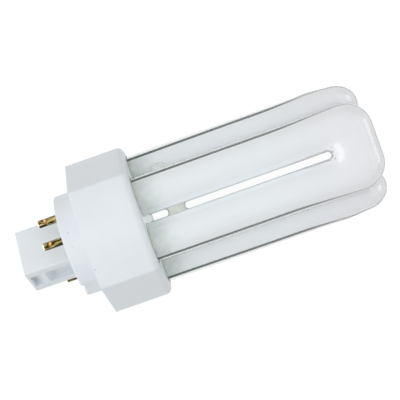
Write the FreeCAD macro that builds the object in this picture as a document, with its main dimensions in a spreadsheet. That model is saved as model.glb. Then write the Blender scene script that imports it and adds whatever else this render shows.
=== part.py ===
import FreeCAD, Part
import math
import os
import Sketcher
from collections import namedtuple
from FreeCAD import Placement, Rotation, Vector

# A four-pin plug-in fluorescent lamp with three U-bent glass tubes.
# +X runs along the lamp's axis from the cap to the tube ends. x = 0 is the face that the pins stand on.
# Angles round the axis are counted from +Z towards +Y.

doc = FreeCAD.newDocument("plug_in_lamp")
sheet = doc.addObject("Spreadsheet::Sheet", "sizes")

DRIVING_SIZES = (
    # glass
    ("tube_diameter", 12.0, "outside of each glass leg"),
    ("leg_gap", 2.1, "between two neighbouring legs"),
    ("tube_reach", 72.4, "housing rim to the far end of the U bends"),
    ("bend_extra_depth", 2.5, "how much deeper the glass of a U bend is than a leg is wide"),
    ("bend_axis_radius", 2.0, "axis of the tube at a corner of a U bend"),
    ("seam_flat", 0.1, "narrow flat left between the two roundings of a tube"),
    ("foot_distance", 4.0, "cap's plate to the feet of the legs"),
    ("foot_rounding", 1.5, "rounding of a leg's sealed foot"),
    ("bridge_diameter", 6.3, "short tube that joins two neighbouring U tubes"),
    ("bridge_height", 8.6, "housing rim to the axis of a bridge"),
    # housing
    ("housing_length", 18.2, "along the lamp"),
    ("face_margin", 1.35, "circle round all the legs to the middle of a wide bulged face"),
    ("face_bend_radius", 38.0, "radius of a wide face's bulge"),
    ("flat_margin", 1.9, "circle round all the legs to a narrow flat"),
    ("ridge_rounding", 1.2, "rounding between a wide face and a narrow flat"),
    ("rim_rounding", 2.0, "rounding round the rim that the tubes leave"),
    ("housing_wall", 1.7, "side wall"),
    ("housing_roof", 2.0, "wall that the legs pass through"),
    ("leg_clearance", 0.15, "round each leg in the roof"),
    ("ledge_width", 0.8, "step inside the wall that the cap's plate sits on"),
    ("cement_depth", 3.0, "cement under the roof"),
    ("cement_clearance", 0.05, "round the cement"),
    # cap
    ("plate_thickness", 2.0, "plate that closes the housing"),
    ("plate_clearance", 0.1, "round the plate"),
    ("collar_height", 6.5, "pin face to the housing"),
    ("collar_radius", 15.85, "round collar"),
    ("collar_wall", 1.6, "side wall of the collar"),
    ("collar_front", 2.0, "wall that carries the pins"),
    ("collar_flat_distance", 15.45, "lamp axis to the flat on the collar"),
    ("collar_edge_rounding", 0.3, "rounding of the collar's front edge"),
    ("key_notch_width", 5.0, "notch in the collar's front edge at its flat"),
    ("key_notch_depth", 0.9, "along the lamp"),
    ("key_notch_reach", 2.2, "from the flat towards the axis"),
    ("cap_roll", 30.0, "degrees from +Z to the normal of the post's wide face"),
    ("post_length", 15.1, "pin face to the end of the post"),
    ("post_width", 15.2, "across the wide face"),
    ("post_thickness", 12.0, "between the wide faces"),
    ("post_wall", 1.2, "walls of the hollow post"),
    ("post_edge_rounding", 0.35, "long edges of the post"),
    ("catch_width", 6.4, "groove in each narrow side of the post"),
    ("catch_depth", 2.3, "depth of the groove"),
    ("catch_end_wall", 0.8, "wall left between the groove and the post's end"),
    ("catch_ramp_length", 4.2, "ramp up to the crest"),
    ("catch_crest_length", 0.5, "top of the crest"),
    ("catch_slope_length", 2.0, "slope from the crest down to the latch floor"),
    # pins
    ("pin_diameter", 2.35, "contact pin"),
    ("pin_seat_diameter", 2.75, "pin where the collar's front wall grips it"),
    ("pin_length", 6.6, "pin face to the tip"),
    ("pin_pitch", 8.0, "between the two pins on one side of the post"),
    ("pin_row_distance", 23.0, "between the two pairs of pins"),
    ("pin_tip_rounding", 0.7, "tip of a pin"),
    ("pin_bore", 1.2, "bore that the wire runs in"),
    ("pin_tip_wall", 1.0, "closed end of a pin"),
    ("pin_head_diameter", 3.4, "head behind the collar's front wall"),
    ("pin_head_thickness", 0.8, "along the lamp"),
    ("crimp_distance", 2.5, "tip to the crimp"),
    ("crimp_radius", 0.8, "ball that presses the crimp"),
    ("crimp_depth", 0.3, "depth of the crimp"),
    # wires
    ("wire_diameter", 0.6, "bare lead wire"),
    ("wire_pair_gap", 2.2, "between the two wires of one leg"),
    ("wire_drop", 1.6, "leg's foot to the bend where a wire turns inwards"),
    ("wire_plate_gap", 0.8, "cap's plate to the bend where a wire turns down to its pin"),
    ("wire_bend_radius", 1.5, "each bend of a wire"),
)
for row, (alias, size, meaning) in enumerate(DRIVING_SIZES, start=1):
    sheet.set(f"A{row}", alias)
    sheet.set(f"B{row}", str(size))
    sheet.set(f"C{row}", meaning)
    sheet.setAlias(f"B{row}", alias)
doc.recompute()

# Places along the lamp, worked out from the driving sizes.
HOUSING_RIM = "(sizes.collar_height + sizes.housing_length)"
PLATE_INSIDE = "(sizes.collar_height + sizes.plate_thickness)"
LEG_FOOT = f"({PLATE_INSIDE} + sizes.foot_distance)"
TUBE_END = f"({HOUSING_RIM} + sizes.tube_reach)"
GAP_HALF = "(sizes.leg_gap / 2)"
GAP_CENTRE = f"({TUBE_END} - sizes.tube_diameter - sizes.bend_extra_depth - {GAP_HALF})"
BRIDGE_PLACE = f"({HOUSING_RIM} + sizes.bridge_height)"
ROOF_UNDERSIDE = f"({HOUSING_RIM} - sizes.housing_roof)"
PIN_HEAD_END = "(sizes.collar_front + sizes.pin_head_thickness)"
CRIMP_PLACE = "(sizes.crimp_distance - sizes.pin_length)"
PLATE_INSET = "sizes.housing_wall - sizes.ledge_width"

# Distances from the lamp's axis. The six legs are a regular hexagon, as far from the axis as from each other.
LEG_CIRCLE = "(sizes.tube_diameter + sizes.leg_gap)"
U_DISTANCE = f"({LEG_CIRCLE} * sqrt(3) / 2)"
LEGS_OUTSIDE = f"({LEG_CIRCLE} + sizes.tube_diameter / 2)"
FACE_DISTANCE = f"({LEGS_OUTSIDE} + sizes.face_margin)"
FLAT_DISTANCE = f"({LEGS_OUTSIDE} + sizes.flat_margin)"

FACE_ANGLES = (0, 120, 240)
FLAT_ANGLES = (60, 180, 300)
LEG_COUNT = 6
HALF_STEP = 180 // LEG_COUNT
BRIDGE_ANGLES = (60, 180)

# How far an outline that cuts runs past the surface, and what counts as nothing.
BEYOND = 1
TINY = 1e-3

# A bend in an outline. A half circle is held by the place of its centre, not by its radius.
Bend = namedtuple("Bend", "radius anticlockwise large centre_across", defaults=(True, False, None))


def value(expression):
    """Value of an expression in the sheet's names, as a plain number."""
    result = sheet.evalExpression(expression)
    return float(getattr(result, "Value", result))


def new_body(name, placement=None):
    """Empty body whose label is the piece's name."""
    body = doc.addObject("PartDesign::Body", name)
    body.Label = name
    if placement is not None:
        body.Placement = placement
    return body


def origin_plane(body, role):
    """One of the body's own origin planes."""
    return next(plane for plane in body.Origin.OriginFeatures if plane.Role == role)


def new_sketch(body, name, role, height="0", turn=None, turn_axis=Vector(0, 0, -1)):
    """Sketch on one of the body's own planes, raised by height and turned about an axis."""
    sketch = body.newObject("Sketcher::SketchObject", name)
    sketch.AttachmentSupport = [(origin_plane(body, role), "")]
    sketch.MapMode = "FlatFace"
    rotation = Rotation(turn_axis, value(turn) if turn else 0)
    sketch.AttachmentOffset = Placement(Vector(0, 0, value(height)), rotation)
    sketch.setExpression("AttachmentOffset.Base.z", height)
    if turn:
        sketch.setExpression("AttachmentOffset.Rotation.Angle", turn)
    return sketch


def bind(sketch, constraint, expression):
    """Add a dimension to a sketch and drive it from the sheet."""
    number = sketch.addConstraint(constraint)
    sketch.setExpression(f"Constraints[{number}]", expression)


def hold_point(sketch, geometry, end, across, up):
    """Hold one point of a sketch's geometry at two coordinates given as expressions."""
    bind(sketch, Sketcher.Constraint("DistanceX", -1, 1, geometry, end, value(across)), across)
    bind(sketch, Sketcher.Constraint("DistanceY", -1, 1, geometry, end, value(up)), up)


def add_circle(sketch, across, up, diameter):
    """Circle with its centre and diameter given as expressions."""
    centre = Vector(value(across), value(up), 0)
    circle = sketch.addGeometry(Part.Circle(centre, Vector(0, 0, 1), value(diameter) / 2), False)
    hold_point(sketch, circle, 3, across, up)
    bind(sketch, Sketcher.Constraint("Diameter", circle, value(diameter)), diameter)


def arc_between(start, end, bend):
    """Arc from start to end, the short way round or the long way."""
    chord = end - start
    radius = value(bend.radius)
    reach = math.sqrt(max(radius**2 - (chord.Length / 2) ** 2, 0))
    left = Vector(-chord.y, chord.x, 0).normalize()
    towards = 1 if bend.anticlockwise != bend.large else -1
    centre = (start + end) * 0.5 + left * reach * towards
    bulge = (left * -1 if bend.anticlockwise else left) * radius
    return Part.Arc(start, centre + bulge, end)


def hold_bend(sketch, arc, bend):
    """Hold an arc whose two ends are held already."""
    if bend.centre_across is None:
        bind(sketch, Sketcher.Constraint("Radius", arc, value(bend.radius)), bend.radius)
    else:
        across = bend.centre_across
        bind(sketch, Sketcher.Constraint("DistanceX", -1, 1, arc, 3, value(across)), across)


def add_loop(sketch, corners, bends=None):
    """Closed outline through corners, each a pair of expressions.

    The side that leaves corner number k is straight, unless bends[k] makes it an arc.
    """
    bends = bends or {}
    points = [Vector(value(across), value(up), 0) for across, up in corners]
    first = sketch.GeometryCount
    count = len(points)
    for index, start in enumerate(points):
        end = points[(index + 1) % count]
        if index in bends:
            sketch.addGeometry(arc_between(start, end, bends[index]), False)
        else:
            sketch.addGeometry(Part.LineSegment(start, end), False)
    # A clockwise arc is stored the other way round, so its first point is where it ends.
    starts = [2 if index in bends and not bends[index].anticlockwise else 1 for index in range(count)]
    for index, (across, up) in enumerate(corners):
        before = (index - 1) % count
        hold_point(sketch, first + index, starts[index], across, up)
        end_of_before = 3 - starts[before]
        joined = Sketcher.Constraint("Coincident", first + before, end_of_before, first + index, starts[index])
        sketch.addConstraint(joined)
        if index in bends:
            hold_bend(sketch, first + index, bends[index])


def add_rectangle(sketch, width, height):
    """Rectangle centred on the sketch's origin."""
    across = f"({width}) / 2"
    up = f"({height}) / 2"
    add_loop(sketch, ((f"-{across}", f"-{up}"), (across, f"-{up}"), (across, up), (f"-{across}", up)))


def add_three_sided_outline(sketch, inset):
    """The housing's outline moved inwards by inset: three bulged faces joined by three flats."""
    bend = f"(sizes.face_bend_radius - ({inset}))"
    flat = f"({FLAT_DISTANCE} - ({inset}))"
    back = f"(sizes.face_bend_radius - {FACE_DISTANCE})"
    # Half the width of a flat, from where the circle of a face crosses the line of the flat beside it.
    half = f"(sqrt({bend}^2 - ({flat} + {back} / 2)^2) - {back} * sin(60))"
    corners = []
    for angle in FLAT_ANGLES:
        for side in (-1, 1):
            corners.append(
                (
                    f"{flat} * sin({angle}) + {half} * {side} * cos({angle})",
                    f"{flat} * cos({angle}) - {half} * {side} * sin({angle})",
                )
            )
    add_loop(sketch, corners, {index: Bend(bend, anticlockwise=False) for index in (1, 3, 5)})


def extrude(body, kind, sketch, name, length, backwards=False, midplane=False):
    """Pad or Pocket of a sketch by a bound length."""
    feature = body.newObject(kind, name)
    feature.Profile = sketch
    feature.Length = value(length)
    feature.setExpression("Length", length)
    feature.Reversed = backwards
    feature.Midplane = midplane
    doc.recompute()
    return feature


def pad(body, sketch, name, length, **choices):
    """Grow a sketch's outline into the body."""
    return extrude(body, "PartDesign::Pad", sketch, name, length, **choices)


def pocket(body, sketch, name, length, **choices):
    """Cut a sketch's outline out of the body, and make sure that it does cut."""
    before = body.Shape.Volume
    feature = extrude(body, "PartDesign::Pocket", sketch, name, length, **choices)
    if feature.Shape.Volume > before - TINY:
        raise RuntimeError(f"{body.Label}: {name} cuts nothing")
    return feature


def fillet(body, base, name, radius, wanted):
    """Round the edges that a test picks, by a bound radius."""
    names = [f"Edge{index}" for index, edge in enumerate(base.Shape.Edges, start=1) if wanted(edge)]
    feature = body.newObject("PartDesign::Fillet", name)
    feature.Base = (base, names)
    feature.Radius = value(radius)
    feature.setExpression("Radius", radius)
    doc.recompute()
    return feature


def runs_along_axis(edge):
    """True for a straight edge that is parallel to the lamp's axis."""
    box = edge.BoundBox
    return box.XLength > TINY and box.YLength < TINY and box.ZLength < TINY


def lies_at(edge, place):
    """True for an edge that lies wholly in the cross section at a place."""
    return abs(edge.BoundBox.XMin - place) < TINY and abs(edge.BoundBox.XMax - place) < TINY


def roll_about_axis(angle, base=Vector(0, 0, 0)):
    """Placement that turns +Z to an angle round the lamp's axis."""
    return Placement(base, Rotation(Vector(-1, 0, 0), angle))


def build_u_tube(name, roll):
    """One U-bent tube: its outline seen flat on, padded to the tube's thickness and rounded."""
    body = new_body(name, roll_about_axis(roll))
    sketch = new_sketch(body, f"{name}_outline", "XY_Plane", U_DISTANCE)
    half = f"({LEG_CIRCLE} / 2 + sizes.tube_diameter / 2)"
    corner_radius = "(sizes.bend_axis_radius + sizes.tube_diameter / 2)"
    bend_x = f"({TUBE_END} - {corner_radius})"
    bend_y = f"({half} - {corner_radius})"
    corners = (
        (LEG_FOOT, f"-{half}"),
        (bend_x, f"-{half}"),
        (TUBE_END, f"-{bend_y}"),
        (TUBE_END, bend_y),
        (bend_x, half),
        (LEG_FOOT, half),
        (LEG_FOOT, GAP_HALF),
        (GAP_CENTRE, GAP_HALF),
        (GAP_CENTRE, f"-{GAP_HALF}"),
        (LEG_FOOT, f"-{GAP_HALF}"),
    )
    corner = Bend(corner_radius)
    gap_end = Bend(GAP_HALF, anticlockwise=False, centre_across=GAP_CENTRE)
    add_loop(sketch, corners, {1: corner, 3: corner, 7: gap_end})
    slab = pad(body, sketch, f"{name}_slab", "sizes.tube_diameter", midplane=True)
    foot = value(LEG_FOOT)
    top = value(U_DISTANCE) + value("sizes.tube_diameter") / 2
    bottom = top - value("sizes.tube_diameter")

    def borders_a_flat_side(edge):
        box = edge.BoundBox
        off_side = min(abs(box.Center.z - top), abs(box.Center.z - bottom))
        return box.ZLength < TINY and off_side < TINY and not lies_at(edge, foot)

    section_radius = "(sizes.tube_diameter - sizes.seam_flat) / 2"
    tube = fillet(body, slab, f"{name}_section", section_radius, borders_a_flat_side)
    fillet(body, tube, f"{name}_feet", "sizes.foot_rounding", lambda edge: lies_at(edge, foot))
    return body


def build_bridge(name, angle):
    """Short tube between the axes of the two legs on either side of an angle."""
    bridge = doc.addObject("Part::Cylinder", name)
    bridge.setExpression("Radius", "sizes.bridge_diameter / 2")
    bridge.setExpression("Height", LEG_CIRCLE)
    # The cylinder grows from the axis of the leg before it, square to the direction of the angle.
    leg = angle - HALF_STEP
    bridge.Placement = roll_about_axis(angle + 90)
    bridge.setExpression("Placement.Base.x", BRIDGE_PLACE)
    bridge.setExpression("Placement.Base.y", f"{LEG_CIRCLE} * sin({leg})")
    bridge.setExpression("Placement.Base.z", f"{LEG_CIRCLE} * cos({leg})")
    return bridge


def build_discharge_tube():
    """Three U tubes and two bridges, fused as the glass is: one sealed vessel."""
    tubes = [build_u_tube(f"u_tube_{number}", angle) for number, angle in enumerate(FACE_ANGLES, 1)]
    bridges = [build_bridge(f"bridge_{number}", angle) for number, angle in enumerate(BRIDGE_ANGLES, 1)]
    vessel = doc.addObject("Part::MultiFuse", "discharge_tube")
    vessel.Label = "discharge_tube"
    vessel.Shapes = tubes + bridges
    return vessel


def add_leg_holes(sketch, clearance):
    """Six circles on the ring of legs, each a leg's size with clearance round it."""
    for number in range(LEG_COUNT):
        angle = HALF_STEP * (2 * number + 1)
        across = f"{LEG_CIRCLE} * sin({angle})"
        up = f"{LEG_CIRCLE} * cos({angle})"
        add_circle(sketch, across, up, f"sizes.tube_diameter + 2 * {clearance}")


def build_housing():
    """Moulded shell: a three-sided tub with six leg holes in its roof and a ledge at its open side."""
    body = new_body("housing")
    outline = new_sketch(body, "housing_outline", "YZ_Plane", "sizes.collar_height")
    add_three_sided_outline(outline, "0")
    block = pad(body, outline, "housing_block", "sizes.housing_length")
    ridges = fillet(body, block, "housing_ridges", "sizes.ridge_rounding", runs_along_axis)
    rim = value(HOUSING_RIM)
    fillet(body, ridges, "housing_rim", "sizes.rim_rounding", lambda edge: lies_at(edge, rim))
    inside = new_sketch(body, "housing_inside", "YZ_Plane", "sizes.collar_height")
    add_three_sided_outline(inside, "sizes.housing_wall")
    pocket(body, inside, "housing_hollow", "sizes.housing_length - sizes.housing_roof", backwards=True)
    ledge = new_sketch(body, "housing_ledge_outline", "YZ_Plane", "sizes.collar_height")
    add_three_sided_outline(ledge, PLATE_INSET)
    pocket(body, ledge, "housing_ledge", "sizes.plate_thickness", backwards=True)
    holes = new_sketch(body, "housing_leg_holes", "YZ_Plane", HOUSING_RIM)
    add_leg_holes(holes, "sizes.leg_clearance")
    pocket(body, holes, "housing_roof_holes", f"sizes.housing_roof + {BEYOND}")
    return body


def build_tube_cement():
    """Cement that fills the housing under its roof, round the six legs."""
    body = new_body("tube_cement")
    outline = new_sketch(body, "cement_outline", "YZ_Plane", ROOF_UNDERSIDE)
    add_three_sided_outline(outline, "sizes.housing_wall + sizes.cement_clearance")
    pad(body, outline, "cement_block", "sizes.cement_depth", backwards=True)
    holes = new_sketch(body, "cement_leg_holes", "YZ_Plane", ROOF_UNDERSIDE)
    add_leg_holes(holes, "sizes.cement_clearance")
    pocket(body, holes, "cement_holes", f"sizes.cement_depth + {BEYOND}")
    return body


def add_catch(sketch, side):
    """Outline of the snap catch cut in one narrow side of the post, seen along its wide face's normal.

    A ramp climbs from behind the end wall to a crest, and a slope drops behind it to the latch floor.
    """
    face = f"{side} * sizes.post_width / 2"
    floor = f"{side} * (sizes.post_width / 2 - sizes.catch_depth)"
    outside = f"{side} * (sizes.post_width / 2 + {BEYOND})"
    ramp_start = "(sizes.catch_end_wall - sizes.post_length)"
    crest_start = f"({ramp_start} + sizes.catch_ramp_length)"
    crest_end = f"({crest_start} + sizes.catch_crest_length)"
    floor_start = f"({crest_end} + sizes.catch_slope_length)"
    corners = (
        (ramp_start, outside),
        (ramp_start, floor),
        (crest_start, face),
        (crest_end, face),
        (floor_start, floor),
        ("0", floor),
        ("0", outside),
    )
    add_loop(sketch, corners)


def build_cap():
    """Moulded cap: the housing's closing plate, the collar and the hollow post with its catches."""
    body = new_body("cap")
    roll = "sizes.cap_roll"
    plate = new_sketch(body, "cap_plate_outline", "YZ_Plane", "sizes.collar_height")
    add_three_sided_outline(plate, f"{PLATE_INSET} + sizes.plate_clearance")
    pad(body, plate, "cap_plate", "sizes.plate_thickness")

    collar = new_sketch(body, "cap_collar_outline", "YZ_Plane", "0", roll)
    flat = "sizes.collar_flat_distance"
    chord = f"sqrt(sizes.collar_radius^2 - {flat}^2)"
    around = Bend("sizes.collar_radius", large=True)
    add_loop(collar, ((f"-{flat}", chord), (f"-{flat}", f"-{chord}")), {1: around})
    boss = pad(body, collar, "cap_collar", "sizes.collar_height")
    fillet(body, boss, "cap_collar_edge", "sizes.collar_edge_rounding", lambda edge: lies_at(edge, 0))

    post = new_sketch(body, "cap_post_outline", "YZ_Plane", "0", roll)
    add_rectangle(post, "sizes.post_width", "sizes.post_thickness")
    stem = pad(body, post, "cap_post", "sizes.post_length", backwards=True)
    fillet(
        body, stem, "cap_post_edges", "sizes.post_edge_rounding",
        lambda edge: runs_along_axis(edge) and edge.BoundBox.XMax < TINY,
    )

    hollow = new_sketch(body, "cap_collar_hollow_outline", "YZ_Plane", PLATE_INSIDE)
    add_circle(hollow, "0", "0", "2 * (sizes.collar_radius - sizes.collar_wall)")
    pocket(body, hollow, "cap_collar_hollow", f"{PLATE_INSIDE} - sizes.collar_front")

    bore = new_sketch(body, "cap_post_hollow_outline", "YZ_Plane", "sizes.collar_front", roll)
    add_rectangle(
        bore,
        "sizes.post_width - 2 * (sizes.catch_depth + sizes.post_wall)",
        "sizes.post_thickness - 2 * sizes.post_wall",
    )
    pocket(body, bore, "cap_post_hollow", "sizes.collar_front + sizes.post_length - sizes.post_wall")

    catches = new_sketch(body, "cap_catch_outlines", "XY_Plane", "0", roll, Vector(-1, 0, 0))
    for side in (1, -1):
        add_catch(catches, side)
    pocket(body, catches, "cap_catches", "sizes.catch_width", midplane=True)

    notch = new_sketch(body, "cap_notch_outline", "YZ_Plane", "0", roll)
    reach = f"-({flat} - sizes.key_notch_reach)"
    outside = f"-({flat} + {BEYOND})"
    across = "(sizes.key_notch_width / 2)"
    add_loop(notch, ((outside, f"-{across}"), (reach, f"-{across}"), (reach, across), (outside, across)))
    pocket(body, notch, "cap_key_notch", "sizes.key_notch_depth", backwards=True)

    pin_holes = new_sketch(body, "cap_pin_holes_outline", "YZ_Plane", "0", roll)
    for side in (1, -1):
        for row_side in (1, -1):
            add_circle(
                pin_holes,
                f"{side} * sizes.pin_pitch / 2",
                f"{row_side} * sizes.pin_row_distance / 2",
                "sizes.pin_seat_diameter",
            )
    pocket(body, pin_holes, "cap_pin_holes", "sizes.collar_front", backwards=True)
    return body


def pin_place(turn, side):
    """A pin's place: turn is 0 or 180 about the axis, and side is 1 or -1 along the pair."""
    angle = f"(sizes.cap_roll + {turn})"
    across = f"sizes.pin_row_distance / 2 * sin({angle}) + {side} * sizes.pin_pitch / 2 * cos({angle})"
    up = f"sizes.pin_row_distance / 2 * cos({angle}) - {side} * sizes.pin_pitch / 2 * sin({angle})"
    return across, up


def build_contact_pin(name, turn, side):
    """Brass pin: a turned shell with a seat, a head inside the cap, a bore for the wire and a crimp."""
    across, up = pin_place(turn, side)
    base = Vector(0, value(across), value(up))
    body = new_body(name, roll_about_axis(value("sizes.cap_roll") + turn, base))
    body.setExpression("Placement.Base.y", across)
    body.setExpression("Placement.Base.z", up)
    section = new_sketch(body, f"{name}_section", "XY_Plane")
    radius = "sizes.pin_diameter / 2"
    seat = "sizes.pin_seat_diameter / 2"
    head = "sizes.pin_head_diameter / 2"
    bore = "sizes.pin_bore / 2"
    bore_end = "(sizes.pin_tip_wall - sizes.pin_length)"
    corners = (
        ("-sizes.pin_length", "0"),
        (bore_end, "0"),
        (bore_end, bore),
        (PIN_HEAD_END, bore),
        (PIN_HEAD_END, head),
        ("sizes.collar_front", head),
        ("sizes.collar_front", seat),
        ("0", seat),
        ("0", radius),
        ("-sizes.pin_length", radius),
    )
    add_loop(section, corners)
    shell = body.newObject("PartDesign::Revolution", f"{name}_shell")
    shell.Profile = section
    shell.ReferenceAxis = (section, ["H_Axis"])
    shell.Angle = 360
    doc.recompute()
    tip = -value("sizes.pin_length")
    fillet(body, shell, f"{name}_tip", "sizes.pin_tip_rounding", lambda edge: lies_at(edge, tip))
    crimp = body.newObject("PartDesign::SubtractiveSphere", f"{name}_crimp")
    crimp.setExpression("Radius", "sizes.crimp_radius")
    height = "sizes.pin_diameter / 2 + sizes.crimp_radius - sizes.crimp_depth"
    crimp.AttachmentSupport = [(origin_plane(body, "XY_Plane"), "")]
    crimp.MapMode = "FlatFace"
    crimp.AttachmentOffset = Placement(Vector(value(CRIMP_PLACE), 0, value(height)), Rotation())
    crimp.setExpression("AttachmentOffset.Base.x", CRIMP_PLACE)
    crimp.setExpression("AttachmentOffset.Base.z", height)
    return body


def rounded_path(corners, radius):
    """Straight runs through corners, joined by tangent arcs of one radius."""
    pieces = []
    start = corners[0]
    for before, corner, after in zip(corners, corners[1:], corners[2:]):
        back = (before - corner).normalize()
        ahead = (after - corner).normalize()
        half_opening = back.getAngle(ahead) / 2
        reach = radius / math.tan(half_opening)
        middle_direction = (back + ahead).normalize()
        middle = corner + middle_direction * (radius / math.sin(half_opening) - radius)
        pieces.append(Part.LineSegment(start, corner + back * reach))
        pieces.append(Part.Arc(corner + back * reach, middle, corner + ahead * reach))
        start = corner + ahead * reach
    pieces.append(Part.LineSegment(start, corners[-1]))
    return pieces


def build_lead_wire(name, leg_angle, offset, pin):
    """Bare wire from a leg's foot to a pin's crimp. Both ends run along the lamp, so its path is flat."""
    leg_distance = f"({LEG_CIRCLE} + {offset} * sizes.wire_pair_gap / 2)"
    start_across = f"{leg_distance} * sin({leg_angle})"
    start_up = f"{leg_distance} * cos({leg_angle})"
    start = Vector(0, value(start_across), value(start_up))
    goal = Vector(0, value(pin[0]), value(pin[1]))
    shift = goal - start
    # The path's plane holds +X, and its own +Y points from the leg to the pin.
    lean = math.degrees(math.atan2(shift.z, shift.y))
    body = new_body(name, Placement(start, Rotation(Vector(1, 0, 0), lean)))
    body.setExpression("Placement.Base.y", start_across)
    body.setExpression("Placement.Base.z", start_up)
    foot = value(LEG_FOOT)
    corners = [
        Vector(foot, 0, 0),
        Vector(foot - value("sizes.wire_drop"), 0, 0),
        Vector(value(PLATE_INSIDE) + value("sizes.wire_plate_gap"), shift.Length, 0),
        Vector(value(CRIMP_PLACE), shift.Length, 0),
    ]
    path = new_sketch(body, f"{name}_path", "XY_Plane")
    pieces = rounded_path(corners, value("sizes.wire_bend_radius"))
    for piece in pieces:
        path.addGeometry(piece, False)
    section = new_sketch(body, f"{name}_section", "YZ_Plane", LEG_FOOT)
    add_circle(section, "0", "0", "sizes.wire_diameter")
    doc.recompute()
    wire = body.newObject("PartDesign::AdditivePipe", f"{name}_wire")
    wire.Profile = section
    wire.Spine = (path, [f"Edge{number}" for number in range(1, len(pieces) + 1)])
    doc.recompute()
    length = sum(piece.length() for piece in pieces)
    expected = length * math.pi * value("sizes.wire_diameter") ** 2 / 4
    if abs(body.Shape.Volume / expected - 1) > 0.01:
        raise RuntimeError(f"{name}: volume {body.Shape.Volume} for a path that needs {expected}")
    return body


def build_pins_and_wires():
    """Four pins, and for each a wire from the nearer electrode leg."""
    pieces = []
    number = 0
    for turn, leg_angle, outward in ((0, 330, -1), (180, 270, 1)):
        for side in (1, -1):
            number += 1
            pieces.append(build_contact_pin(f"contact_pin_{number}", turn, side))
            # The wire to the pin beside the leg starts on the leg's outer side, the other inside it.
            offset = 1 if side == outward else -1
            pieces.append(build_lead_wire(f"lead_wire_{number}", leg_angle, offset, pin_place(turn, side)))
    return pieces


parts = [build_discharge_tube(), build_housing(), build_tube_cement(), build_cap()]
parts += build_pins_and_wires()
doc.recompute()

for item in doc.Objects:
    if "Invalid" in item.State or "Error" in item.State:
        raise RuntimeError(f"{item.Label} did not build: {item.State}")
for item in parts:
    if item.Shape.isNull() or not item.Shape.isValid():
        raise RuntimeError(f"{item.Label} has no valid shape")

os.makedirs("parts", exist_ok=True)
for item in parts:
    item.Shape.exportStep(f"parts/{item.Label}.step")
    box = item.Shape.BoundBox
    print(
        f"{item.Label}: {len(item.Shape.Solids)} solid, {item.Shape.Volume:.1f} mm3,"
        f" x {box.XMin:.2f} to {box.XMax:.2f}, y {box.YMin:.2f} to {box.YMax:.2f},"
        f" z {box.ZMin:.2f} to {box.ZMax:.2f}"
    )
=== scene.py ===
import math
from collections import namedtuple

import bpy
import numpy as np
from mathutils import Matrix, Vector


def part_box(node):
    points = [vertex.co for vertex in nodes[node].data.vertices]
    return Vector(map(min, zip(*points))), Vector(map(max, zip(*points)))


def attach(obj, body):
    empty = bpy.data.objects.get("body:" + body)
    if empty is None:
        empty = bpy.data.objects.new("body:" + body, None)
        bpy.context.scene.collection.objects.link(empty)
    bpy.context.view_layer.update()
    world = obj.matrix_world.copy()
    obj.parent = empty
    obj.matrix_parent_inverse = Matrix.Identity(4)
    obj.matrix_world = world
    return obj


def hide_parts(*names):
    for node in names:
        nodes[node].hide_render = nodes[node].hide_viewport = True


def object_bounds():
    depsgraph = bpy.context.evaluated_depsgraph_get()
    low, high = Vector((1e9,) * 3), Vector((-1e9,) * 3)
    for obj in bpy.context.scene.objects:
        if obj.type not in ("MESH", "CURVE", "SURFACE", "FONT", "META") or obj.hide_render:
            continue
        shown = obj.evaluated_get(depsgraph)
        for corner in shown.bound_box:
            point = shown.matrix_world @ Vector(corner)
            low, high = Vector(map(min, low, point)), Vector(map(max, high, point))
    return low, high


# A four-pin plug-in fluorescent lamp with three U-bent glass tubes, dressed for a picture from above.
# +X runs from the cap to the tube ends, and angles round the lamp's axis are counted from +Z towards +Y.

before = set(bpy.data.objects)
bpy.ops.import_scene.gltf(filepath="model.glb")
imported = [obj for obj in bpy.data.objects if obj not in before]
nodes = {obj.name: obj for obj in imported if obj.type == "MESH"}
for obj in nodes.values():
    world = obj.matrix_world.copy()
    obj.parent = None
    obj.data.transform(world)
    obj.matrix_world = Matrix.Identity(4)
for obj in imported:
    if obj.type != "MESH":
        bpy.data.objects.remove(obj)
cad_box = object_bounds()
scene = bpy.context.scene

MM = 0.001

# Sizes of the CAD model and places read from it, in millimetres and degrees.
TUBE_DIAMETER = 12.0
SEAM_FLAT = 0.1
LEG_GAP = 2.1
FOOT_ROUNDING = 1.5
BEND_AXIS_RADIUS = 2.0
BEND_EXTRA_DEPTH = 2.5
BRIDGE_HEIGHT = 8.6
CRIMP_DISTANCE = 2.5
CAP_ROLL = 30
LEG_ANGLES = (30, 90, 150, 210, 270, 330)
LEG_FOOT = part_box("discharge_tube")[0].x / MM
TUBE_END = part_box("discharge_tube")[1].x / MM
HOUSING_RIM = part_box("housing")[1].x / MM
PIN_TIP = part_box("contact_pin_1")[0].x / MM
REST_HEIGHT = cad_box[0].z / MM

# Worked out from them.
TUBE_RADIUS = (TUBE_DIAMETER - SEAM_FLAT) / 2
LEG_CIRCLE = TUBE_DIAMETER + LEG_GAP
U_DISTANCE = LEG_CIRCLE * math.sqrt(3) / 2
CORNER_RADIUS = BEND_AXIS_RADIUS + TUBE_DIAMETER / 2
GAP_CENTRE = TUBE_END - TUBE_DIAMETER - BEND_EXTRA_DEPTH - LEG_GAP / 2
BRIDGE_PLACE = HOUSING_RIM + BRIDGE_HEIGHT
CRIMP_PLACE = PIN_TIP + CRIMP_DISTANCE

# Each U tube by its angle: its glass wall at the feet, along the legs and in the bend; how much painted grey
# shade its clear leg rim gets; what share of its height its bend loses; and how far its end stands back.
UTube = namedtuple("UTube", "foot_wall leg_wall bend_wall rim_shade bend_taper bend_back")
NEAR_TUBE = UTube(0.78, 0.74, 0.20, 0.0, 0.0, 0.0)
SIDE_TUBE = UTube(0.92, 0.72, 0.20, 0.34, 0.15, 0.3)
U_TUBES = {0: NEAR_TUBE, 120: SIDE_TUBE, 240: SIDE_TUBE}

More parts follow.
